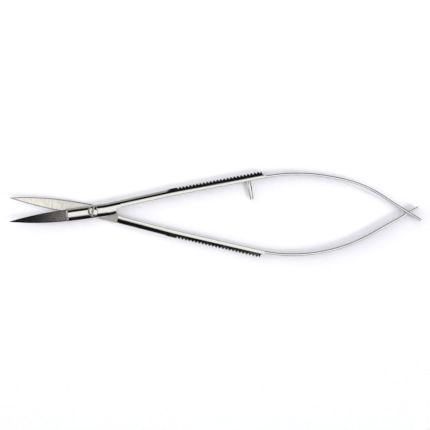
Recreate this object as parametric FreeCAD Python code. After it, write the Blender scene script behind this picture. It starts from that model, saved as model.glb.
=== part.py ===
import FreeCAD, Part
import math
import os

V = FreeCAD.Vector
ORIGIN = V(0, 0, 0)
ALONG = V(1, 0, 0)
UP = V(0, 0, 1)

# Squeeze-action cuticle scissors lying flat, in millimetres and degrees.
# The origin is on the pivot axis at the table. +X runs to the spring tail, +Z is up.
# A lever is drawn straight: u from the pivot to the grip, v to its outer side, z up.

# Rest position
OPEN_ANGLE = 9.1            # each lever stands this far off the centre line
CLOSING_ANGLE = 17.0        # total turn until the tips meet

# Levers: forged from a flattened round bar, which splits into two arms
BAR_HEIGHT = 4.0            # joint, arms and springs
BAR_WIDTH = 4.0             # joint bar at the crotch
SHOULDER_WIDTH = 3.6        # the joint bar tapers to this at the blades
CROWN_RADIUS = 2.5          # rounded upper and lower side
CORNER_RADIUS = 0.3         # between the crowns and the flat sides
SHOULDER_DISTANCE = 7.3     # pivot to blade shoulder
SHOULDER_RUNOUT = 0.7       # length of the hollow where the grinding wheel left the bar
WHEEL_RADIUS = 1.6          # of that hollow
SHANK_START = 4.2           # the arm starts to lean outwards here
SHANK_ANGLE = 4.3           # lean of the plain shank
GRIP_START = 23.5           # the lean eases here
GRIP_ANGLE = 2.85           # lean of the toothed grip
ARM_LENGTH = 51.0           # pivot to the spring
FLAT_OFFSET = 0.25          # the arm's flat inner face stands this far inside the crown's top
FLAT_CHAMFER = 0.12         # along the flat's upper and lower edge
CROTCH_RADIUS = 0.7         # hollow between the arm's flat and the end of the joint bar
JOINT_RADIUS = 7.4          # the joint reaches this far from the pivot, with that hollow
JOINT_CLEARANCE = 0.1       # from that arc to the other lever's shoulder
LAP_CLEARANCE = 0.04        # between the two levers where they slide on each other

# Grips: the outer corners are filled out to flat facets, with teeth across them
FACET_START = 21.6          # the shank's section starts to change here
FACET_RUNIN = 1.6           # length of the change
FACET_EDGE = 0.7            # from the crown's top to the facet
FACET_ANGLE = 20.0          # fall of the facet to the outer side
FACET_CHAMFER = 0.12        # along the facet's outer edge
TOOTH_COUNT = 25
TOOTH_PITCH = 1.0
TOOTH_DEPTH = 0.65
TOOTH_LAND = 0.1            # flat left on top of each tooth
END_RADIUS = 1.2            # hollow between the last tooth and the spring
END_THICKNESS = 0.7         # arm left at the spring

# Blades
BLADE_LENGTH = 16.9         # shoulder to tip
EDGE_OFFSET = 1.6           # cutting edge to the lever's line
EDGE_STRAIGHT = 2.5         # straight stretch of edge beside the shoulder
EDGE_RADIUS = 91.0          # the edge then bends to the tip on this arc
SPINE_OFFSET = 1.75         # spine to the lever's line at the shoulder
SPINE_SAG = 0.5             # bulge of the spine's arc over its chord
TIP_WIDTH = 0.1
EDGE_THICKNESS = 0.12
BEVEL_ANGLE = 17.0          # outer face, ground down to the edge
CURVE_START = 8.0           # the blades curve upwards from this radius
CURVE_RADIUS = 53.0

# Pivot screw
HEAD_DIAMETER = 2.9
HEAD_RIM = 0.3              # straight side below the dome
HEAD_DOME = 0.45
SEAT_DEPTH = 0.85           # recess below the top of the bar
SCREW_DIAMETER = 1.6
SCREW_CLEARANCE = 0.04      # turning in the front lever
THREAD_CLEARANCE = 0.01     # tight in the rear lever
SLOT_WIDTH = 0.45
SLOT_DEPTH = 0.4
SLOT_ANGLE = 80.0           # to the centre line

# Stop pin
PIN_INSET = 5.2             # from the arm's end, along the lever's line
PIN_ROOT_DIAMETER = 1.5
PIN_TIP_DIAMETER = 1.0
PIN_TENON_DIAMETER = 1.0
PIN_TENON_LENGTH = 1.2
PIN_FIT = 0.01              # brazing gap round the tenon
PIN_CLEARANCE = 0.3         # left to the other arm when the tips meet

# Leaf springs
LEAF_THICKNESS = 0.65
LEAF_GAP = 0.15             # from the arm's end to the rounded root
FRONT_LEAF_SLOPE = 11.0     # at the root, to the centre line
REAR_LEAF_SLOPE = 8.5
TAIL_SLOPE = 30.5           # of both straight tails
CROSSING_DISTANCE = 91.3    # pivot to the crossing of the tails, along the centre line
CROSSING_OFFSET = 1.2       # the bow is sprung this far towards the front arm
SLOTTED_TAIL_LENGTH = 4.05  # past the crossing
SLOT_LENGTH = 2.8
SLOT_HEIGHT = 2.1
NECK_LENGTH = 2.4
NECK_HEIGHT = 1.7
HOOK_LENGTH = 2.1
HOOK_HEIGHT = 3.0

# Worked-out values
MID = BAR_HEIGHT / 2
LAP_LEVEL = MID + LAP_CLEARANCE / 2
CLOSED_ANGLE = OPEN_ANGLE - CLOSING_ANGLE / 2
TIP_DISTANCE = SHOULDER_DISTANCE + BLADE_LENGTH
SPLIT_END = JOINT_RADIUS + CROTCH_RADIUS    # the split bar is whole and even from here
PIN_DISTANCE = ARM_LENGTH - PIN_INSET
TEETH_END = ARM_LENGTH - END_RADIUS
BEYOND = 2 * BAR_HEIGHT     # reach of cutting bodies past the metal


def tangent(angle):
    return math.tan(math.radians(angle))


def direction(angle):
    return V(math.cos(math.radians(angle)), math.sin(math.radians(angle)), 0)


def wire_face(edges):
    return Part.Face(Part.Wire(Part.__sortEdges__([edge.toShape() for edge in edges])))


def outline(points):
    return Part.Face(Part.makePolygon(points + points[:1]))


def upright(face, low=-BEYOND, high=BEYOND + BAR_HEIGHT):
    """Prism over a face drawn at height zero."""
    prism = face.extrude(V(0, 0, high - low))
    prism.translate(V(0, 0, low))
    return prism


def arm_centre(u):
    """Distance of the top of the arm's crown from the lever's line."""
    shank = min(max(u - SHANK_START, 0), GRIP_START - SHANK_START)
    grip = max(u - GRIP_START, 0)
    return shank * tangent(SHANK_ANGLE) + grip * tangent(GRIP_ANGLE)


def arm_flat(u):
    """Distance of the arm's flat inner face from the lever's line."""
    return arm_centre(u) - FLAT_OFFSET


def crown_height(v):
    """Height of the crown over mid height, at a distance from the crown's top."""
    return BAR_HEIGHT / 2 - CROWN_RADIUS + math.sqrt(CROWN_RADIUS ** 2 - v ** 2)


def corner_points():
    """Ends and middle of the rounded corner between the crown and a flat side."""
    inset = BAR_WIDTH / 2 - CORNER_RADIUS
    drop = math.sqrt((CROWN_RADIUS - CORNER_RADIUS) ** 2 - inset ** 2)
    level = BAR_HEIGHT / 2 - CROWN_RADIUS + drop
    lean = math.atan2(inset, drop)
    points = []
    for angle in (lean, (lean + math.pi / 2) / 2, math.pi / 2):
        points.append((inset + CORNER_RADIUS * math.sin(angle), level + CORNER_RADIUS * math.cos(angle)))
    return points


def section_wire(u, half):
    """Closed section from its upper half, given as runs of two points (line) or three (arc)."""
    middle = V(u, arm_centre(u), MID)
    edges = []
    for up in (1, -1):
        for run in half:
            points = [middle + V(0, v, up * z) for v, z in run]
            edge = Part.LineSegment(*points) if len(points) == 2 else Part.Arc(*points)
            edges.append(edge.toShape())
    for v, z in (half[0][0], half[-1][-1]):
        edges.append(Part.LineSegment(middle + V(0, v, z), middle + V(0, v, -z)).toShape())
    return Part.Wire(Part.__sortEdges__(edges))


def crown_run(start, end):
    return [(v, crown_height(v)) for v in (start, (start + end) / 2, end)]


def bar_section(u):
    """Flattened round: crowned above and below, flat sides, rounded corners."""
    corner = corner_points()
    mirrored = [(-v, z) for v, z in reversed(corner)]
    return section_wire(u, [mirrored, crown_run(-corner[0][0], corner[0][0]), corner])


def flat_chamfer():
    """Chamfer between the arm's flat and the crown."""
    v = FLAT_CHAMFER - FLAT_OFFSET
    return [(-FLAT_OFFSET, crown_height(FLAT_OFFSET) - FLAT_CHAMFER), (v, crown_height(v))]


def shank_section(u):
    """Split bar: flat inside, crowned above and below, rounded outer corners."""
    corner = corner_points()
    inner = flat_chamfer()
    return section_wire(u, [inner, crown_run(inner[1][0], FACET_EDGE),
                            crown_run(FACET_EDGE, corner[0][0]), corner])


def grip_section(u):
    """Split bar whose outer corners are filled out to flat facets."""
    inner = flat_chamfer()
    side = BAR_WIDTH / 2
    top = (FACET_EDGE, crown_height(FACET_EDGE))
    edge = side - FACET_CHAMFER
    low = (edge, top[1] - (edge - FACET_EDGE) * tangent(FACET_ANGLE))
    return section_wire(u, [inner, crown_run(inner[1][0], FACET_EDGE), [top, low],
                            [low, (side, low[1] - FACET_CHAMFER)]])


def joint_bar():
    """Bar of the joint up to where it is split, with its sides ground to a taper towards the blades."""
    root = -SHOULDER_DISTANCE - SHOULDER_RUNOUT
    straight = Part.Face(bar_section(root)).extrude(V(SHANK_START - root, 0, 0))
    lean = Part.Face(bar_section(SHANK_START)).extrude(V(SPLIT_END - SHANK_START, arm_centre(SPLIT_END), 0))
    sides = []
    for across in (1, -1):
        sides.append(upright(outline([V(SHANK_START, across * BAR_WIDTH / 2, 0),
                                      V(root, across * SHOULDER_WIDTH / 2, 0),
                                      V(root, across * BAR_WIDTH, 0)])))
    return straight.cut(sides).fuse(lean)


def arm():
    """Split bar of the arm: plain shank, then the grip with its facets."""
    sections = [shank_section(u) for u in (SPLIT_END, FACET_START)]
    sections += [grip_section(u) for u in (FACET_START + FACET_RUNIN, GRIP_START, ARM_LENGTH)]
    return Part.makeLoft(sections, True, True)


def inner_half():
    """What is split off the arm's inner side, outside the joint bar."""
    split = [V(0, arm_flat(0), 0), V(SHANK_START, arm_flat(SHANK_START), 0)]
    split += [V(u, arm_flat(u), 0) for u in (GRIP_START, ARM_LENGTH + BEYOND)]
    split += [V(ARM_LENGTH + BEYOND, -BEYOND, 0), V(0, -BEYOND, 0)]
    body = upright(outline(split))
    bar_end = JOINT_RADIUS - CROTCH_RADIUS
    body = body.cut(upright(Part.Face(Part.Wire(Part.makeCircle(bar_end)))))
    crotch = V(bar_end, arm_flat(bar_end), 0)
    uprights = [edge for edge in body.Edges if edge.tangentAt(edge.FirstParameter).cross(UP).Length < 0.01]
    corner = min(uprights, key=lambda edge: math.hypot(edge.CenterOfMass.x - crotch.x,
                                                       edge.CenterOfMass.y - crotch.y))
    return body.makeFillet(CROTCH_RADIUS, [corner])


def shoulder_hollow():
    """Concave runout of the grinding wheel between joint bar and blade."""
    top = V(-SHOULDER_DISTANCE, 0, BAR_HEIGHT)
    centre = top - V(WHEEL_RADIUS, 0, 0)
    sweep = math.acos(1 - SHOULDER_RUNOUT / WHEEL_RADIUS)

    def rim(angle):
        return centre + V(math.cos(angle), 0, -math.sin(angle)) * WHEEL_RADIUS

    foot = rim(sweep)
    past = -SHOULDER_DISTANCE - BEYOND
    edges = [Part.Arc(top, rim(sweep / 2), foot),
             Part.LineSegment(foot, V(foot.x, 0, MID)),
             Part.LineSegment(V(foot.x, 0, MID), V(past, 0, MID)),
             Part.LineSegment(V(past, 0, MID), V(past, 0, BAR_HEIGHT)),
             Part.LineSegment(V(past, 0, BAR_HEIGHT), top)]
    hollow = wire_face(edges).extrude(V(0, 2 * BEYOND, 0))
    hollow.translate(V(0, -BEYOND, 0))
    return hollow


def edge_offset(u):
    """Distance of the cutting edge from the lever's line."""
    bent = max(-u - SHOULDER_DISTANCE - EDGE_STRAIGHT, 0)
    return EDGE_OFFSET - EDGE_RADIUS + math.sqrt(EDGE_RADIUS ** 2 - bent ** 2)


def blade_rise(radius):
    """Height that the blade has gained at a distance from the pivot."""
    return max(radius - CURVE_START, 0) ** 2 / (2 * CURVE_RADIUS)


def blade_plan():
    """Blade seen from above: straight edge, bent edge, tip and arched spine."""
    root = V(SHOULDER_RUNOUT - SHOULDER_DISTANCE, 0, 0)
    bend = V(-SHOULDER_DISTANCE - EDGE_STRAIGHT, EDGE_OFFSET, 0)
    halfway = (bend.x - TIP_DISTANCE) / 2
    tip = V(-TIP_DISTANCE, edge_offset(-TIP_DISTANCE), 0)
    tip_back = tip - V(0, TIP_WIDTH, 0)
    heel = V(-SHOULDER_DISTANCE, -SPINE_OFFSET, 0)
    spine = (heel + tip_back) * 0.5 - V(0, SPINE_SAG, 0)
    edges = [Part.LineSegment(V(root.x, EDGE_OFFSET, 0), bend),
             Part.Arc(bend, V(halfway, edge_offset(halfway), 0), tip),
             Part.LineSegment(tip, tip_back),
             Part.Arc(tip_back, spine, heel),
             Part.LineSegment(heel, V(root.x, -SPINE_OFFSET, 0)),
             Part.LineSegment(V(root.x, -SPINE_OFFSET, 0), V(root.x, EDGE_OFFSET, 0))]
    return upright(wire_face(edges))


def bevel_body(curve):
    """Everything under the ground outer face, which follows the blade's curve up (1) or down (-1)."""
    first = SHOULDER_RUNOUT - SHOULDER_DISTANCE
    last = -TIP_DISTANCE - TIP_WIDTH
    steps = 6
    sections = []
    for i in range(steps + 1):
        u = first + (last - first) * i / steps
        inner = MID + curve * blade_rise(-u)
        corners = []
        for v in (-BAR_WIDTH / 2, BAR_WIDTH / 2):
            outer = inner + EDGE_THICKNESS + (edge_offset(u) - v) * tangent(BEVEL_ANGLE)
            corners.append((V(u, v, inner - MID / 2), V(u, v, outer)))
        (low_back, high_back), (low_front, high_front) = corners
        sections.append(Part.makePolygon([low_back, low_front, high_front, high_back, low_back]))
    return Part.makeLoft(sections, True)


def lap_cutter(curve):
    """Body turned about the pivot axis: what lies beyond the face where the levers meet."""
    reach = TIP_DISTANCE + BAR_HEIGHT
    rise = curve * blade_rise(reach)
    start = V(CURVE_START, 0, LAP_LEVEL)
    end = V(reach, 0, LAP_LEVEL + rise)
    face_curve = Part.BezierCurve()
    face_curve.setPoles([start, V((CURVE_START + reach) / 2, 0, LAP_LEVEL), end])
    floor = -BEYOND
    edges = [Part.LineSegment(V(0, 0, LAP_LEVEL), start), face_curve,
             Part.LineSegment(end, V(reach, 0, floor)),
             Part.LineSegment(V(reach, 0, floor), V(0, 0, floor)),
             Part.LineSegment(V(0, 0, floor), V(0, 0, LAP_LEVEL))]
    sector = wire_face(edges)
    sector.rotate(ORIGIN, UP, 90)
    blade_side = sector.revolve(ORIGIN, UP, 180)
    joint = Part.makeCylinder(JOINT_RADIUS + JOINT_CLEARANCE, LAP_LEVEL - floor, V(0, 0, floor))
    return blade_side.fuse(joint)


def tooth_grooves():
    """V grooves across the flat outer side of the grip."""
    half = (TOOTH_PITCH - TOOTH_LAND) / 2
    grooves = []
    for i in range(TOOTH_COUNT):
        u = TEETH_END - (i + 0.5) * TOOTH_PITCH
        groove = upright(outline([V(0, -TOOTH_DEPTH, 0), V(2 * half, TOOTH_DEPTH, 0),
                                  V(-2 * half, TOOTH_DEPTH, 0)]))
        groove.rotate(ORIGIN, UP, GRIP_ANGLE)
        groove.translate(V(u, arm_centre(u) + BAR_WIDTH / 2, 0))
        grooves.append(groove)
    return Part.makeCompound(grooves)


def arm_end_hollow():
    """Hollow corner that thins the arm's end to the spring."""
    floor = arm_flat(ARM_LENGTH) + END_THICKNESS
    centre = V(ARM_LENGTH, floor + END_RADIUS, 0)
    round_part = upright(Part.Face(Part.Wire(Part.makeCircle(END_RADIUS, centre))))
    side = V(ARM_LENGTH - END_RADIUS, centre.y, 0)
    above = upright(outline([side, V(ARM_LENGTH + END_RADIUS, centre.y, 0),
                             V(ARM_LENGTH + END_RADIUS, centre.y + BEYOND, 0),
                             side + V(0, BEYOND, 0)]))
    return round_part.fuse(above)


def lever(curve):
    """One lever, with its lap facing down and its blade curving up (1) or down (-1)."""
    body = joint_bar().cut([inner_half(), shoulder_hollow()])
    body = body.fuse(arm())
    body = body.fuse(blade_plan().common(bevel_body(curve)))
    body = body.cut(lap_cutter(curve))
    body = body.cut(tooth_grooves())
    body = body.cut(arm_end_hollow())
    return body.removeSplitter()


def as_front(shape):
    shape.rotate(ORIGIN, UP, OPEN_ANGLE)
    return shape


def as_rear(shape):
    shape.rotate(V(0, 0, MID), ALONG, 180)
    shape.rotate(ORIGIN, UP, -OPEN_ANGLE)
    return shape


def pin_root():
    """Middle of the pin's seat on the front arm's flat, in the lever's own frame."""
    return V(PIN_DISTANCE, arm_flat(PIN_DISTANCE), MID)


def front_blade_arm():
    body = lever(1)
    seat = BAR_HEIGHT - SEAT_DEPTH
    recess = Part.makeCylinder(HEAD_DIAMETER / 2 + SCREW_CLEARANCE, BEYOND, V(0, 0, seat))
    bore = Part.makeCylinder(SCREW_DIAMETER / 2 + SCREW_CLEARANCE, BEYOND)
    socket = Part.makeCylinder(PIN_TENON_DIAMETER / 2 + PIN_FIT, PIN_TENON_LENGTH + PIN_FIT,
                               pin_root(), direction(90 + GRIP_ANGLE))
    return as_front(body.cut([recess, bore, socket]))


def rear_blade_arm():
    bore = Part.makeCylinder(SCREW_DIAMETER / 2 + THREAD_CLEARANCE, BEYOND)
    return as_rear(lever(-1).cut(bore))


def pivot_screw():
    """Slotted dome-headed screw, filed off level with the table side of the joint."""
    seat = BAR_HEIGHT - SEAT_DEPTH + SCREW_CLEARANCE
    rim = seat + HEAD_RIM
    radius = HEAD_DIAMETER / 2
    crown = V(0, 0, rim + HEAD_DOME)
    sphere = (radius ** 2 + HEAD_DOME ** 2) / (2 * HEAD_DOME)
    slope = math.asin(radius / sphere) / 2
    shoulder = V(sphere * math.sin(slope), 0, crown.z - sphere + sphere * math.cos(slope))
    shank = SCREW_DIAMETER / 2
    edges = [Part.LineSegment(V(0, 0, 0), V(shank, 0, 0)),
             Part.LineSegment(V(shank, 0, 0), V(shank, 0, seat)),
             Part.LineSegment(V(shank, 0, seat), V(radius, 0, seat)),
             Part.LineSegment(V(radius, 0, seat), V(radius, 0, rim)),
             Part.Arc(V(radius, 0, rim), shoulder, crown),
             Part.LineSegment(crown, V(0, 0, 0))]
    screw = wire_face(edges).revolve(ORIGIN, UP, 360)
    slot = Part.makeBox(2 * HEAD_DIAMETER, SLOT_WIDTH, BEYOND,
                        V(-HEAD_DIAMETER, -SLOT_WIDTH / 2, crown.z - SLOT_DEPTH))
    slot.rotate(ORIGIN, UP, SLOT_ANGLE)
    return screw.cut(slot)


def stop_pin():
    """Tapered peg that keeps the arms apart when the blades are shut."""
    closed_gap = 2 * (PIN_DISTANCE * math.sin(math.radians(CLOSED_ANGLE))
                      + arm_flat(PIN_DISTANCE) * math.cos(math.radians(CLOSED_ANGLE)))
    inwards = direction(GRIP_ANGLE - 90)
    peg = Part.makeCone(PIN_ROOT_DIAMETER / 2, PIN_TIP_DIAMETER / 2, closed_gap - PIN_CLEARANCE,
                        pin_root(), inwards)
    tenon = Part.makeCylinder(PIN_TENON_DIAMETER / 2, PIN_TENON_LENGTH, pin_root(), -inwards)
    return as_front(peg.fuse(tenon))


def leaf_root():
    """Centre of the front spring's rounded root, just past the arm's end."""
    u = ARM_LENGTH + LEAF_GAP + LEAF_THICKNESS / 2
    root = Part.Vertex(V(u, arm_flat(ARM_LENGTH) + LEAF_THICKNESS / 2, 0))
    return as_front(root).Point


def leaf_radius(root, slope, crossing):
    """Radius of the bow whose straight tail runs through the crossing."""
    turn_x = math.sin(math.radians(slope)) + math.sin(math.radians(TAIL_SLOPE))
    turn_y = math.cos(math.radians(slope)) - math.cos(math.radians(TAIL_SLOPE))
    fall = (crossing.x - root.x) * tangent(TAIL_SLOPE) - root.y + crossing.y
    return fall / (turn_x * tangent(TAIL_SLOPE) - turn_y)


def leaf_blank(slope, crossing, tail_length):
    """Spring before its tail is cut: rounded root, bow on one arc, straight tail."""
    root = leaf_root()
    radius = leaf_radius(root, slope, crossing)
    half = LEAF_THICKNESS / 2
    out = direction(slope + 90)
    centre = root - out * radius
    tail_out = direction(90 - TAIL_SLOPE)
    middle_out = direction(90 + (slope - TAIL_SLOPE) / 2)
    tail_end = crossing + direction(-TAIL_SLOPE) * tail_length

    def side(offset):
        start = centre + out * (radius + offset)
        end = centre + tail_out * (radius + offset)
        return [Part.Arc(start, centre + middle_out * (radius + offset), end),
                Part.LineSegment(end, tail_end + tail_out * offset)]

    edges = side(half) + side(-half)
    edges.append(Part.LineSegment(tail_end + tail_out * half, tail_end - tail_out * half))
    edges.append(Part.Arc(root + out * half, root - direction(slope) * half, root - out * half))
    return upright(wire_face(edges), 0, BAR_HEIGHT)


def tail_box(crossing, start, length, low, high):
    """Block round a spring's tail, from a distance past the crossing."""
    block = Part.makeBox(length, 2 * BEYOND, high - low, V(start, -BEYOND, low))
    block.rotate(ORIGIN, UP, -TAIL_SLOPE)
    block.translate(crossing)
    return block


def slotted_leaf_spring():
    crossing = V(CROSSING_DISTANCE, CROSSING_OFFSET, 0)
    leaf = leaf_blank(FRONT_LEAF_SLOPE, crossing, SLOTTED_TAIL_LENGTH)
    low = MID - SLOT_HEIGHT / 2
    return leaf.cut(tail_box(crossing, -SLOT_LENGTH / 2, SLOT_LENGTH, low, low + SLOT_HEIGHT))


def hooked_leaf_spring():
    """Built as a front spring, then mirrored to the rear arm."""
    crossing = V(CROSSING_DISTANCE, -CROSSING_OFFSET, 0)
    hook_start = NECK_LENGTH / 2
    leaf = leaf_blank(REAR_LEAF_SLOPE, crossing, hook_start + HOOK_LENGTH)
    cuts = []
    for start, length, height in ((-NECK_LENGTH / 2, NECK_LENGTH, NECK_HEIGHT),
                                  (hook_start, 2 * HOOK_LENGTH, HOOK_HEIGHT)):
        cuts.append(tail_box(crossing, start, length, -BEYOND, MID - height / 2))
        cuts.append(tail_box(crossing, start, length, MID + height / 2, BEYOND))
    return leaf.cut(cuts).mirror(ORIGIN, V(0, 1, 0))


PIECES = (front_blade_arm, rear_blade_arm, pivot_screw, stop_pin, slotted_leaf_spring, hooked_leaf_spring)

os.makedirs("parts", exist_ok=True)
for piece in PIECES:
    piece().exportStep("parts/" + piece.__name__ + ".step")
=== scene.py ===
import functools
import math

import bpy
import numpy as np
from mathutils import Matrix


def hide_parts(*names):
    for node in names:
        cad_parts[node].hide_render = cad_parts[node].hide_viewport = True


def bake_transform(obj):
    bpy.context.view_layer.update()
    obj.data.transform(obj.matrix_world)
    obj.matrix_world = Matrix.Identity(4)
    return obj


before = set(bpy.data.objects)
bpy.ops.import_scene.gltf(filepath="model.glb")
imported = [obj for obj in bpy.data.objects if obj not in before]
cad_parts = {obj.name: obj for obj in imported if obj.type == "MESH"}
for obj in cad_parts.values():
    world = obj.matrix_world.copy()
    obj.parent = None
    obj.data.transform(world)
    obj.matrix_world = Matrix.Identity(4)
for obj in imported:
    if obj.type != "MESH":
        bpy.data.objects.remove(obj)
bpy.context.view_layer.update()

MM = 0.001
scene = bpy.context.scene
scene.view_settings.view_transform = "Standard"

# Sizes that the looks share with the solids, in millimetres and degrees
BAR_HEIGHT = 4.0
MID = BAR_HEIGHT / 2
OPEN_ANGLE = 9.1            # from the middle line to each lever
SHOULDER_DISTANCE = 7.3
BLADE_LENGTH = 16.9
EDGE_OFFSET, EDGE_STRAIGHT, EDGE_RADIUS = 1.6, 2.5, 91.0
SPINE_OFFSET, SPINE_SAG = 1.75, 0.5
TIP_WIDTH = 0.1
JOINT_RADIUS = 7.4
LEAF_ROOT = (50.3692, 10.9999)
LEAF_THICKNESS = 0.65
FRONT_LEAF_SLOPE, REAR_LEAF_SLOPE = 11.0, 8.5
TAIL_SLOPE = 30.5
CROSSING = (91.3, 1.2)
SLOTTED_TAIL = 4.05
SLOT_LENGTH, SLOT_HEIGHT = 2.8, 2.1
NECK_LENGTH, NECK_HEIGHT = 2.4, 1.7
HOOK_LENGTH, HOOK_HEIGHT = 2.1, 3.0
ROOT_REACH = 0.45           # the strip runs back to the arm's end
SCREW_SLOT_ANGLE, SCREW_SLOT_WIDTH = 80.0, 0.45
SEAT_LEVEL = 3.2            # underside of the screw's head
PIN_TURN = 12.0             # from the crosswise axis to the stop pin

# Finish of the levers, in millimetres. A pair is where a look begins and where it is full
HEEL_FADE = 0.05            # to each side of the shoulder
LAP_FADE = (0.12, 0.06)     # from mid height
LAP_END = (0.3, 0.2)        # past the joint's round end
DULL_LAP = (0.5, 2.5)       # along the lever, from the pivot
DULL_SHARE = 0.75
# The next two place a grey line of painted shade along the blade's edge and spine
SHADED_EDGE_LINE = (-0.34, -0.1)     # out from the blade's outline
SHADED_RIM = (0.3, 0.05)        # in from the bar's side
RIM_TO_LINE = (-6.0, -9.0)      # along the lever
HEEL_TO_TIP = (-8.0, -20.0)     # along the lever
RUN_OUT = (0.8, 0.65)           # past the shoulder
BUFF_WAVES = 2.5
GRIT_SPACING, GRIT_LENGTH = 0.25, 1.4   # real grit lines are about 0.05 apart, drawn coarser so that they show
BUFFED_RELIEF, GROUND_RELIEF, RELIEF_DEPTH = 0.02, 0.12, 0.2   # strengths, and millimetres

# Roughness and tone. A pair of roughness goes with the noise, or from heel to tip on the satin blades
NOISE_RANGE = (0.3, 0.7)    # most values of a noise
BUFFED_BAR, BUFFED_SCREW, DRAWN_STEEL = (0.08, 0.13), (0.04, 0.09), (0.12, 0.2)
FRONT_SATIN, REAR_SATIN = (0.27, 0.15), (0.36, 0.3)
RUN_OUT_ROUGHNESS, SAWN_SLOT_ROUGHNESS, PAPER_ROUGHNESS = 0.4, 0.4, 0.9
GRIT_TONES, DRAWN_LINE_AND_SHADE_TONES = (0.35, 0.65), (0.38, 0.55)    # values of the noise from the dark to the light shade

# Finish of the screw, pin and strips, in millimetres. The lines are drawn coarser than real ones so that they show
SLOT_FADE = (0.03, 0.01)    # past the slot's side
SLOT_FLOOR_FADE = 0.1
SCUFF_SIZE = 0.4
SCUFF_RELIEF, DRAWN_RELIEF, FINE_DEPTH = 0.05, 0.04, 0.1       # strengths, and millimetres
# On the pin these lines also carry dark streaks of painted shade
PIN_GRAIN_AND_SHADE, STRIP_GRAIN = (0.45, 6.0, 0.45), (4.0, 4.0, 0.2)     # spacing of the lines along each axis
EDGE_CROWN = 0.58           # radius of the strips' rolled edges
EDGE_POINTS, STRIP_RINGS = 9, 150
STRIP_LEAN = 11.0           # degrees, the upper strip is twisted outwards before its tail
LEAN_START, LEAN_SHARE = 0.35, 0.6      # as shares of the way from root to crossing
LINE_STEP = 0.01            # for the direction of a line
CREASE = 30.0               # degrees, past which a corner stays sharp
SAME_PLACE = 6              # decimals of a millimetre

# Camera: straight above, read off the photograph, in millimetres and degrees
CAMERA_XY = (35.256, -0.432)
CAMERA_HEIGHT = 240.0
VIEW_WIDTH = 125.24         # shown width at mid height
CAMERA_ROLL = 1.05
SENSOR = 36.0
NEAREST = 0.01              # metres

# Studio: the softbox's sides are a little turned from the object's line
SOFTBOX_END_TURN, SOFTBOX_SIDE_TURN = 19.3, -10.0
SOFTBOX_LIGHT, SWEEP_LIGHT, WALL_LIGHT, ROOM_LIGHT = 1.06, 0.42, 0.95, 0.008
# Edges of the panels on a ceiling one unit up, each from dark to full
SOFTBOX_ENDS, SOFTBOX_SIDES = ((-0.39, -0.27), (1.6, 1.2)), ((-1.45, -0.55), (0.5, 0.38))
SWEEP_EDGE = (1.7, 2.1)
WALL_EDGE, WALL_ENDS = (-0.5, -0.62), ((1.1, 0.9), (-1.1, -0.9))
HORIZON = 0.02              # least rise of a direction
FLOOR_REACH, FLOOR_LEVEL = 3000.0, -0.02    # millimetres
FIBRE_SIZE = 1.5                            # millimetres
PAPER_GLOW = 0.09
FAR_GLOW, FAR_FROM, FAR_TO = 0.65, 0.11, 0.35   # strength, and metres from the pivot
LAMP_AIM = (0.035, 0, 0)
# Name, side, place and power, in metres and watts
LAMPS = (("overhead_lamp", 0.5, (-0.1, 0.17, 0.4), 0.95), ("tail_lamp", 0.3, (0.52, -0.26, 0.84), 2.6))


def linear(hex_colour):
    """Linear colour of an sRGB hex value such as E3E1DC."""
    srgb = np.array([int(hex_colour[i:i + 2], 16) for i in (0, 2, 4)]) / 255
    rgb = np.where(srgb <= 0.04045, srgb / 12.92, ((srgb + 0.055) / 1.055) ** 2.4)
    return (*rgb.tolist(), 1.0)


def add(tree, kind, links=None, values=None, **settings):
    """One node: its settings, its fixed input values and the sockets linked to its inputs."""
    made = tree.nodes.new(kind)
    for name, value in settings.items():
        setattr(made, name, value)
    for key, value in (values or {}).items():
        made.inputs[key].default_value = value
    for key, socket in (links or {}).items():
        tree.links.new(socket, made.inputs[key])
    return made.outputs if len(made.outputs) > 1 else made.outputs[0] if made.outputs else made


def mask(tree, *edges):
    """Product of smooth steps: 1 only where the value of each edge has gone from its start to its end."""
    product = None
    for socket, start, end in edges:
        step = add(tree, "ShaderNodeMapRange", {"Value": socket}, {"From Min": start, "From Max": end},
                   interpolation_type="SMOOTHSTEP")[0]
        product = step if product is None else add(tree, "ShaderNodeMath", {0: product, 1: step}, operation="MULTIPLY")
    return product


def new_material(name):
    """Empty material of that name, and its node tree."""
    material = bpy.data.materials.new(name)
    material.use_nodes = True
    material.node_tree.nodes.clear()
    return material, material.node_tree


def circle_through(a, b, c):
    """Centre and radius of the circle through three points, from the two equal-distance equations."""
    a, b, c = np.array(a), np.array(b), np.array(c)
    centre = np.linalg.solve(2 * np.array([b - a, c - a]), [b @ b - a @ a, c @ c - a @ a])
    return centre, np.linalg.norm(centre - a)


def blade_outlines():
    """Circles that the cutting edge and the spine follow, in the lever's own plan."""
    bend = -SHOULDER_DISTANCE - EDGE_STRAIGHT
    tip = -SHOULDER_DISTANCE - BLADE_LENGTH
    edge = np.array((bend, EDGE_OFFSET - EDGE_RADIUS))
    tip_across = edge[1] + math.sqrt(EDGE_RADIUS ** 2 - (bend - tip) ** 2) - TIP_WIDTH
    heel = (-SHOULDER_DISTANCE, -SPINE_OFFSET)
    crest = ((heel[0] + tip) / 2, (heel[1] + tip_across) / 2 - SPINE_SAG)
    return (edge, EDGE_RADIUS), circle_through(heel, crest, (tip, tip_across))


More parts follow.
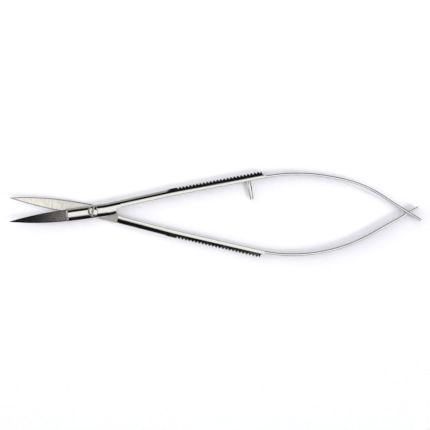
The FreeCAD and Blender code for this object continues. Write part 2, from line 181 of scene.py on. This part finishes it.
def lever_steel(name, turn, flip, satin, shades):
    """Stainless steel of a lever. The bar was buffed to a mirror, so it shows the room in hard bands, a little
    wavy where the wheel pressed. The blade and the lap were ground across and left satin, so they take one even
    tone with fine lines across them. A grey line along the cutting edge and the spine is painted shade, standing in
    for the dark reflection of their narrow ground faces, which aren't modelled. Where the wheel ran out at the
    shoulder it left a pale matt stripe. The lap behind the pivot wasn't finished and stays dull grey."""
    material, tree = new_material(name)
    coords = add(tree, "ShaderNodeTexCoord")
    lever = add(tree, "ShaderNodeMapping", {"Vector": coords["Object"]}, {"Rotation": (0, 0, math.radians(turn))})
    along, across, up = add(tree, "ShaderNodeSeparateXYZ", {0: lever})

    heel = (along, (HEEL_FADE - SHOULDER_DISTANCE) * MM, (-HEEL_FADE - SHOULDER_DISTANCE) * MM)
    blade = mask(tree, heel)
    lap = mask(tree, (up, (MID - LAP_FADE[0]) * MM, (MID - LAP_FADE[1]) * MM),
               (up, (MID + LAP_FADE[0]) * MM, (MID + LAP_FADE[1]) * MM),
               (along, (JOINT_RADIUS + LAP_END[0]) * MM, (JOINT_RADIUS + LAP_END[1]) * MM))
    ground = add(tree, "ShaderNodeMath", {0: blade, 1: lap}, operation="MAXIMUM")
    unfinished = add(tree, "ShaderNodeMapRange", {"Value": along},
                     {"From Min": DULL_LAP[0] * MM, "From Max": DULL_LAP[1] * MM, "To Max": DULL_SHARE},
                     interpolation_type="SMOOTHSTEP")[0]
    dull = add(tree, "ShaderNodeMath", {0: lap, 1: unfinished}, operation="MULTIPLY")
    run_out = mask(tree, heel, (lap, 1, 0),
                   (along, (-SHOULDER_DISTANCE - RUN_OUT[0]) * MM, (-SHOULDER_DISTANCE - RUN_OUT[1]) * MM))

    plan = add(tree, "ShaderNodeVectorMath", {0: lever}, {1: (1, 1, 0)}, operation="MULTIPLY")[0]
    outlines = []
    for centre, radius in blade_outlines():
        spot = (centre[0] * MM, flip * centre[1] * MM, 0)
        away = add(tree, "ShaderNodeVectorMath", {0: plan}, {1: spot}, operation="DISTANCE")[1]
        out = add(tree, "ShaderNodeMath", {0: away}, {1: radius * MM}, operation="SUBTRACT")
        outlines.append(mask(tree, (out, SHADED_EDGE_LINE[0] * MM, SHADED_EDGE_LINE[1] * MM)))
    line = add(tree, "ShaderNodeMath", {0: outlines[0], 1: outlines[1]}, operation="MAXIMUM")
    outwards = add(tree, "ShaderNodeMath", {0: across}, {1: float(flip)}, operation="MULTIPLY")
    rim = mask(tree, (outwards, (SHADED_RIM[0] - SPINE_OFFSET) * MM, (SHADED_RIM[1] - SPINE_OFFSET) * MM))
    past_heel = mask(tree, (along, RIM_TO_LINE[0] * MM, RIM_TO_LINE[1] * MM))
    edge_line_shade = add(tree, "ShaderNodeMix", {"Factor": past_heel, "A": rim, "B": line})[0]
    edge_line_shade = add(tree, "ShaderNodeMath", {0: edge_line_shade, 1: ground}, operation="MULTIPLY")

    waves = add(tree, "ShaderNodeTexNoise", {"Vector": lever}, {"Scale": 1 / (BUFF_WAVES * MM), "Detail": 2.0})["Fac"]
    grit = add(tree, "ShaderNodeMapping", {"Vector": lever},
               {"Scale": [1 / (step * MM) for step in (GRIT_SPACING, GRIT_LENGTH, GRIT_LENGTH)]})
    lines = add(tree, "ShaderNodeTexNoise", {"Vector": grit}, {"Scale": 1.0, "Detail": 3.0})["Fac"]
    relief = add(tree, "ShaderNodeMix", {"Factor": ground, "A": waves, "B": lines})[0]
    strength = add(tree, "ShaderNodeMapRange", {"Value": ground},
                   {"To Min": BUFFED_RELIEF, "To Max": GROUND_RELIEF}, interpolation_type="SMOOTHSTEP")[0]
    bump = add(tree, "ShaderNodeBump", {"Height": relief, "Strength": strength}, {"Distance": RELIEF_DEPTH * MM})

    buffed = add(tree, "ShaderNodeMapRange", {"Value": waves},
                 {"From Min": NOISE_RANGE[0], "From Max": NOISE_RANGE[1],
                  "To Min": BUFFED_BAR[0], "To Max": BUFFED_BAR[1]},
                 interpolation_type="SMOOTHSTEP")[0]
    brushed = add(tree, "ShaderNodeMapRange", {"Value": along},
                  {"From Min": HEEL_TO_TIP[0] * MM, "From Max": HEEL_TO_TIP[1] * MM,
                   "To Min": satin[0], "To Max": satin[1]}, interpolation_type="SMOOTHSTEP")[0]
    gloss = add(tree, "ShaderNodeMix", {"Factor": ground, "A": buffed, "B": brushed})[0]
    gloss = add(tree, "ShaderNodeMix", {"Factor": run_out, "A": gloss}, {"B": RUN_OUT_ROUGHNESS})[0]

    tone = add(tree, "ShaderNodeMix", {0: mask(tree, (lines, *GRIT_TONES))},
               {6: linear(shades[0]), 7: linear(shades[1])}, data_type="RGBA")[2]
    # The first share is painted shade, a grey line along the blade's edge and spine; the second is the dull lap's own
    # grey
    for share, colour in ((edge_line_shade, "6E6C69"), (dull, "9A9892")):
        tone = add(tree, "ShaderNodeMix", {0: share, 6: tone}, {7: linear(colour)}, data_type="RGBA")[2]
    tone = add(tree, "ShaderNodeMix", {0: ground, 7: tone}, {6: linear("E5E4DF")}, data_type="RGBA")[2]
    steel = add(tree, "ShaderNodeBsdfPrincipled", {"Base Color": tone, "Roughness": gloss, "Normal": bump},
                {"Metallic": 1.0})
    add(tree, "ShaderNodeOutputMaterial", {"Surface": steel})
    return material


def screw_steel():
    """Stainless steel of the screw, turned and buffed bright, so its dome mirrors the softbox. Its slot was sawn,
    and shows an even grey."""
    material, tree = new_material("turned_stainless_screw")
    coords = add(tree, "ShaderNodeTexCoord")
    turned = add(tree, "ShaderNodeMapping", {"Vector": coords["Object"]},
                 {"Rotation": (0, 0, -math.radians(SCREW_SLOT_ANGLE))})
    _, across, up = add(tree, "ShaderNodeSeparateXYZ", {0: turned})
    reach = add(tree, "ShaderNodeMath", {0: across}, operation="ABSOLUTE")
    half = SCREW_SLOT_WIDTH / 2
    slot = mask(tree, (reach, (half + SLOT_FADE[0]) * MM, (half + SLOT_FADE[1]) * MM),
                (up, (SEAT_LEVEL - SLOT_FLOOR_FADE) * MM, SEAT_LEVEL * MM))
    scuffs = add(tree, "ShaderNodeTexNoise", {"Vector": turned}, {"Scale": 1 / (SCUFF_SIZE * MM), "Detail": 3.0})["Fac"]
    bump = add(tree, "ShaderNodeBump", {"Height": scuffs}, {"Strength": SCUFF_RELIEF, "Distance": FINE_DEPTH * MM})
    buffed = add(tree, "ShaderNodeMapRange", {"Value": scuffs},
                 {"From Min": NOISE_RANGE[0], "From Max": NOISE_RANGE[1],
                  "To Min": BUFFED_SCREW[0], "To Max": BUFFED_SCREW[1]},
                 interpolation_type="SMOOTHSTEP")[0]
    gloss = add(tree, "ShaderNodeMix", {"Factor": slot, "A": buffed}, {"B": SAWN_SLOT_ROUGHNESS})[0]
    tone = add(tree, "ShaderNodeMix", {0: slot}, {6: linear("E4E2DD"), 7: linear("B4B2AE")}, data_type="RGBA")[2]
    steel = add(tree, "ShaderNodeBsdfPrincipled", {"Base Color": tone, "Roughness": gloss, "Normal": bump},
                {"Metallic": 1.0})
    add(tree, "ShaderNodeOutputMaterial", {"Surface": steel})
    return material


def strip_steel(name, grain, turn, shades):
    """Steel strip or wire, rolled or drawn bright, which leaves lines along the way that it was drawn. They hardly
    show on the near-white springs. On the pin the dark shade is painted shade: dark streaks standing in for the dark
    reflections along its sides. Grain gives their spacing along each axis, turned about the height by an angle."""
    material, tree = new_material(name)
    coords = add(tree, "ShaderNodeTexCoord")
    rolled = add(tree, "ShaderNodeMapping", {"Vector": coords["Object"]},
                 {"Scale": [step * MM for step in grain], "Rotation": (0, 0, math.radians(turn))},
                 vector_type="TEXTURE")
    lines = add(tree, "ShaderNodeTexNoise", {"Vector": rolled}, {"Scale": 1.0, "Detail": 3.0})["Fac"]
    bump = add(tree, "ShaderNodeBump", {"Height": lines}, {"Strength": DRAWN_RELIEF, "Distance": FINE_DEPTH * MM})
    gloss = add(tree, "ShaderNodeMapRange", {"Value": lines},
                {"From Min": NOISE_RANGE[0], "From Max": NOISE_RANGE[1],
                 "To Min": DRAWN_STEEL[0], "To Max": DRAWN_STEEL[1]},
                interpolation_type="SMOOTHSTEP")[0]
    # On the pin the dark shade paints streaks of shade in place of its dark edge reflections
    tone = add(tree, "ShaderNodeMix", {0: mask(tree, (lines, *DRAWN_LINE_AND_SHADE_TONES))},
               {6: linear(shades[0]), 7: linear(shades[1])}, data_type="RGBA")[2]
    steel = add(tree, "ShaderNodeBsdfPrincipled", {"Base Color": tone, "Roughness": gloss, "Normal": bump},
                {"Metallic": 1.0})
    add(tree, "ShaderNodeOutputMaterial", {"Surface": steel})
    return material


def paper_sweep():
    """Matt white paper under the scissors. The lamps alone leave it light grey, so it also glows for the camera and
    for reflections, up to white, and keeps the shadow. Far off, where the lamps don't reach, it glows more."""
    material, tree = new_material("matt_white_paper")
    ray = add(tree, "ShaderNodeLightPath")
    seen = ray["Is Camera Ray"]
    for kind in ("Is Glossy Ray", "Is Transmission Ray"):
        seen = add(tree, "ShaderNodeMath", {0: seen, 1: ray[kind]}, operation="MAXIMUM")
    coords = add(tree, "ShaderNodeTexCoord")
    fibres = add(tree, "ShaderNodeTexNoise", {"Vector": coords["Object"]}, {"Scale": 1 / (FIBRE_SIZE * MM)})["Fac"]
    tint = add(tree, "ShaderNodeMix", {0: fibres}, {6: linear("F0F0F8"), 7: linear("F5F5FA")}, data_type="RGBA")[2]
    paper = add(tree, "ShaderNodeBsdfPrincipled", {"Base Color": tint},
                {"Roughness": PAPER_ROUGHNESS, "Specular IOR Level": 0.2})
    away = add(tree, "ShaderNodeVectorMath", {0: coords["Object"]}, operation="LENGTH")[1]
    unlit = add(tree, "ShaderNodeMapRange", {"Value": away},
                {"From Min": FAR_FROM, "From Max": FAR_TO, "To Max": FAR_GLOW}, interpolation_type="SMOOTHSTEP")[0]
    far = add(tree, "ShaderNodeMath", {0: ray["Is Camera Ray"], 1: unlit}, operation="MULTIPLY")
    glow = add(tree, "ShaderNodeMath", {0: seen, 2: far}, {1: PAPER_GLOW}, operation="MULTIPLY_ADD")
    white = add(tree, "ShaderNodeEmission", {"Strength": glow})
    both = add(tree, "ShaderNodeAddShader", {0: paper, 1: white})
    add(tree, "ShaderNodeOutputMaterial", {"Surface": both})
    return material


def studio():
    """World as a plain studio: a broad softbox above and to the lower right, a pale sweep behind, a tall wall beyond
    the blades and a dark room round them. The camera itself sees white. A direction is read as the point where it
    meets a ceiling one unit above the table."""
    world = bpy.data.worlds.new("studio")
    scene.world = world
    world.use_nodes = True
    tree = world.node_tree
    tree.nodes.clear()
    coords = add(tree, "ShaderNodeTexCoord")
    x, y, z = add(tree, "ShaderNodeSeparateXYZ", {0: coords["Generated"]})
    rise = add(tree, "ShaderNodeMath", {0: z}, {1: HORIZON}, operation="MAXIMUM")
    right, back = [add(tree, "ShaderNodeMath", {0: axis, 1: rise}, operation="DIVIDE") for axis in (x, y)]
    point = add(tree, "ShaderNodeCombineXYZ", {0: right, 1: back})
    turned = [add(tree, "ShaderNodeVectorRotate", {"Vector": point}, {"Angle": -math.radians(turn)},
                  rotation_type="Z_AXIS") for turn in (SOFTBOX_END_TURN, SOFTBOX_SIDE_TURN)]
    ends = add(tree, "ShaderNodeSeparateXYZ", {0: turned[0]})[0]
    sides = add(tree, "ShaderNodeSeparateXYZ", {0: turned[1]})[1]
    softbox = mask(tree, *[(ends, *edge) for edge in SOFTBOX_ENDS], *[(sides, *edge) for edge in SOFTBOX_SIDES])
    sweep = mask(tree, (back, *SWEEP_EDGE))
    wall = mask(tree, (right, *WALL_EDGE), *[(back, *edge) for edge in WALL_ENDS])
    light = add(tree, "ShaderNodeLightPath")["Is Camera Ray"]
    for panel, radiance in ((softbox, SOFTBOX_LIGHT), (sweep, SWEEP_LIGHT), (wall, WALL_LIGHT)):
        share = add(tree, "ShaderNodeMath", {0: panel}, {1: radiance, 2: ROOM_LIGHT}, operation="MULTIPLY_ADD")
        light = add(tree, "ShaderNodeMath", {0: light, 1: share}, operation="MAXIMUM")
    sky = add(tree, "ShaderNodeBackground", {"Strength": light}, {"Color": linear("FFFFFF")})
    add(tree, "ShaderNodeOutputWorld", {"Surface": sky})


def put_mesh(name, points, faces, material):
    """Object at the origin with smooth faces, from points in millimetres."""
    mesh = bpy.data.meshes.new(name)
    mesh.from_pydata((np.asarray(points) * MM).tolist(), [], faces)
    mesh.validate()
    mesh.polygons.foreach_set("use_smooth", np.ones(len(mesh.polygons), bool))
    mesh.materials.append(material)
    piece = bpy.data.objects.new(name, mesh)
    scene.collection.objects.link(piece)
    return piece


def leaf_line(run, slope, crossing):
    """Middle line of a strip on the upper side, at distances from its root: a straight lead-in behind the root, one
    arc from the root's slope down to the tail's slope, then the straight tail through the crossing. Also gives the
    distance of the crossing."""
    start, tail = math.radians(slope), math.radians(TAIL_SLOPE)
    span_x, span_y = crossing[0] - LEAF_ROOT[0], crossing[1] - LEAF_ROOT[1]
    turn_x, turn_y = math.sin(start) + math.sin(tail), math.cos(start) - math.cos(tail)
    radius = (span_x * math.tan(tail) + span_y) / (turn_x * math.tan(tail) - turn_y)
    lean = start - np.clip(run / radius, 0, start + tail)
    arc = radius * (start + tail)
    past = np.minimum(run, 0) + np.maximum(run - arc, 0)
    x = LEAF_ROOT[0] + radius * (math.sin(start) - np.sin(lean)) + past * np.cos(lean)
    y = LEAF_ROOT[1] + radius * (np.cos(lean) - math.cos(start)) + past * np.sin(lean)
    return x, y, arc + (span_x - radius * turn_x) / math.cos(tail)


def strip_edge():
    """Steps s across a strip's thickness, and how far its rolled edge falls below the crest at each of them,
    R - sqrt(R^2 - s^2)."""
    s = np.linspace(LEAF_THICKNESS / 2, -LEAF_THICKNESS / 2, EDGE_POINTS)
    return s, EDGE_CROWN - np.sqrt(EDGE_CROWN ** 2 - s ** 2)


def strip_profile(low, high, marks):
    """Section of a strip between two levels, anticlockwise: a rolled edge at the top and the bottom, and flat sides
    with a point at each marked level."""
    s, fall = strip_edge()
    side = np.full(len(marks), s[0])
    return np.concatenate([s, -side, -s, side]), np.concatenate([high - fall, marks[::-1], low + fall, marks])


def beside(line, runs, s, z):
    """Points at a distance s to the left of the line and at a level z, a row of them for each distance along it."""
    x, y, _ = line(runs)
    ahead = line(runs + LINE_STEP)
    way = np.stack([ahead[0] - x, ahead[1] - y], 1) / LINE_STEP
    return np.stack([x[:, None] - s * way[:, 1:], y[:, None] + s * way[:, :1], z], -1)


def swept_strip(line, runs, levels, lean, marks):
    """Closed shell: the strip's section carried along its line, one pair of levels for each distance. The section
    leans about the line at mid height by lean times a smooth swell, a squared sine, on the way to the tail. Returns
    points and faces."""
    runs = np.array(runs)
    sections = [strip_profile(low, high, marks) for low, high in levels]
    s = np.stack([section[0] for section in sections])
    z = np.stack([section[1] for section in sections])
    swell = np.sin(np.pi * np.clip((runs / line(runs)[2] - LEAN_START) / LEAN_SHARE, 0, 1)) ** 2
    points = beside(line, runs, s + (z - MID) * np.tan(math.radians(lean) * swell)[:, None], z)
    count = s.shape[1]
    i, j = np.meshgrid(np.arange(len(runs) - 1), np.arange(count), indexing="ij")
    here, following = i * count + j, i * count + (j + 1) % count
    walls = np.stack([here, following, following + count, here + count], -1).reshape(-1, 4)
    first = np.arange(count)
    caps = [first[::-1].tolist(), (first + (len(runs) - 1) * count).tolist()]
    return points.reshape(-1, 3), walls.tolist() + caps


def whole_strip_runs(end):
    """Distances of the rings where a strip has its whole height, from the arm's end on."""
    return np.linspace(-ROOT_REACH, end, STRIP_RINGS).tolist()


def slotted_shell(line, lean):
    """Strip with a slot in its tail. The two side faces at the slot are left out, and a tube of four walls with rolled
    edges joins their rims: each of its steps across the thickness has the slot's four corners."""
    middle = line(np.zeros(1))[2]
    start, end = middle - SLOT_LENGTH / 2, middle + SLOT_LENGTH / 2
    s, fall = strip_edge()
    low, high = MID - SLOT_HEIGHT / 2 - fall, MID + SLOT_HEIGHT / 2 + fall
    body = whole_strip_runs(start)
    runs = body + [end, middle + SLOTTED_TAIL]
    points, faces = swept_strip(line, runs, [(0, BAR_HEIGHT)] * len(runs), lean, (low[0], high[0]))
    count = len(points) // len(runs)
    before, after = (len(body) - 1) * count, len(body) * count      # first points of the rings at the slot's ends
    left, right = len(s), count - 2                                 # places in a ring where the rims start
    faces = [face for face in faces if face[0] not in (before + left, before + right)]
    corners = np.array([start, end, end, start])
    inner = beside(line, corners, s[1:-1], np.stack([high, high, low, low])[:, 1:-1]).swapaxes(0, 1)
    rings = np.vstack([[before + right + 1, after + right + 1, after + right, before + right],
                       len(points) + np.arange(4 * len(inner)).reshape(-1, 4),
                       [before + left, after + left, after + left + 1, before + left + 1]])
    turned = np.roll(rings, -1, 1)
    tube = np.stack([rings[:-1], turned[:-1], turned[1:], rings[1:]], -1).reshape(-1, 4)
    return np.concatenate([points, inner.reshape(-1, 3)]), faces + tube.tolist()


def welded(points, faces):
    """The same shell with points that coincide made one, without the faces that this leaves as a line."""
    _, kept, place = np.unique(np.round(points, SAME_PLACE), axis=0, return_index=True, return_inverse=True)
    joined = [list(dict.fromkeys(place.ravel()[face].tolist())) for face in faces]
    return points[kept], [face for face in joined if len(face) > 2]


def hooked_shell(line, lean):
    """Strip, neck and hook in one shell, with a step in its levels where each starts. The wider sides have points
    where the neck's sides end, so that the steps close."""
    middle = line(np.zeros(1))[2]
    fall = strip_edge()[1][0]
    start, end = middle - NECK_LENGTH / 2, middle + NECK_LENGTH / 2
    neck, hook = [(MID - height / 2, MID + height / 2) for height in (NECK_HEIGHT, HOOK_HEIGHT)]
    body = whole_strip_runs(start)
    runs = body + [start, end, end, end + HOOK_LENGTH]
    levels = [(0, BAR_HEIGHT)] * len(body) + [neck, neck, hook, hook]
    return welded(*swept_strip(line, runs, levels, lean, (neck[0] + fall, neck[1] - fall)))


def spring_strip(name, material, shell, side):
    """A strip made of a closed shell of points and faces, on the upper (1) or lower (-1) side."""
    points, faces = shell
    piece = put_mesh(name, points * (1, side, 1), [face[::side] for face in faces], material)
    piece.data.set_sharp_from_angle(angle=math.radians(CREASE))
    return piece


NODE_STEEL = (
    # The front lever's satin shades are darker than the rear's: painted shade for its blade's dark-looking bevel
    ("front_blade_arm", lever_steel("buffed_stainless_front", -OPEN_ANGLE, 1, FRONT_SATIN, ("CBCAC6", "E4E2DC"))),
    ("rear_blade_arm", lever_steel("buffed_stainless_rear", OPEN_ANGLE, -1, REAR_SATIN, ("E2DFD5", "F4F1E8"))),
    ("pivot_screw", screw_steel()),
    # The pin's dark shade, 3A3836, is painted shade in streaks along it
    ("stop_pin", strip_steel("drawn_stainless_pin_painted_shade", PIN_GRAIN_AND_SHADE, PIN_TURN, ("3A3836", "F0EFEC"))))
for node, material in NODE_STEEL:
    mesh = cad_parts[node].data
    mesh.materials.clear()
    mesh.materials.append(material)

spring_steel = strip_steel("rolled_spring_steel", STRIP_GRAIN, 0.0, ("E2E2E4", "ECEBEA"))
LEAVES = (("upper_spring_strip", "slotted_leaf_spring", FRONT_LEAF_SLOPE, slotted_shell, 1, STRIP_LEAN,
           "front_half", "slotted_leaf"),
          ("lower_spring_strip", "hooked_leaf_spring", REAR_LEAF_SLOPE, hooked_shell, -1, 0.0,
           "rear_half", "hooked_leaf"))
for name, node, slope, shell, side, lean, held_by, moves_with in LEAVES:
    line = functools.partial(leaf_line, slope=slope, crossing=(CROSSING[0], side * CROSSING[1]))
    strip = spring_strip(name, spring_steel, shell(line, lean), side)
    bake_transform(strip)
    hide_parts(node)

corners = [(x * FLOOR_REACH, y * FLOOR_REACH, FLOOR_LEVEL) for x, y in ((-1, -1), (1, -1), (1, 1), (-1, 1))]
floor = put_mesh("floor", corners, [(0, 1, 2, 3)], paper_sweep())

studio()

# Two lamps give the paper its shadows: a broad one above the upper left, and a smaller one beyond the tail, from the
# lower right. Metal doesn't mirror them.
for name, size, place, power in LAMPS:
    lamp_data = bpy.data.lights.new(name, "AREA")
    lamp_data.shape = "SQUARE"
    lamp_data.size = size
    lamp_data.energy = power
    lamp = bpy.data.objects.new(name, lamp_data)
    lamp.location = place
    aim = np.array(place) - np.array(LAMP_AIM)
    lamp.rotation_euler = (math.acos(aim[2] / np.linalg.norm(aim)), 0, math.atan2(aim[1], aim[0]) + math.pi / 2)
    lamp.visible_glossy = False
    scene.collection.objects.link(lamp)

camera_data = bpy.data.cameras.new("camera")
camera_data.sensor_width = SENSOR
camera_data.lens = SENSOR * CAMERA_HEIGHT / VIEW_WIDTH
camera_data.clip_start = NEAREST
camera = bpy.data.objects.new("camera", camera_data)
camera.location = (CAMERA_XY[0] * MM, CAMERA_XY[1] * MM, (MID + CAMERA_HEIGHT) * MM)
camera.rotation_euler = (0, 0, math.radians(CAMERA_ROLL))
scene.collection.objects.link(camera)
scene.camera = camera
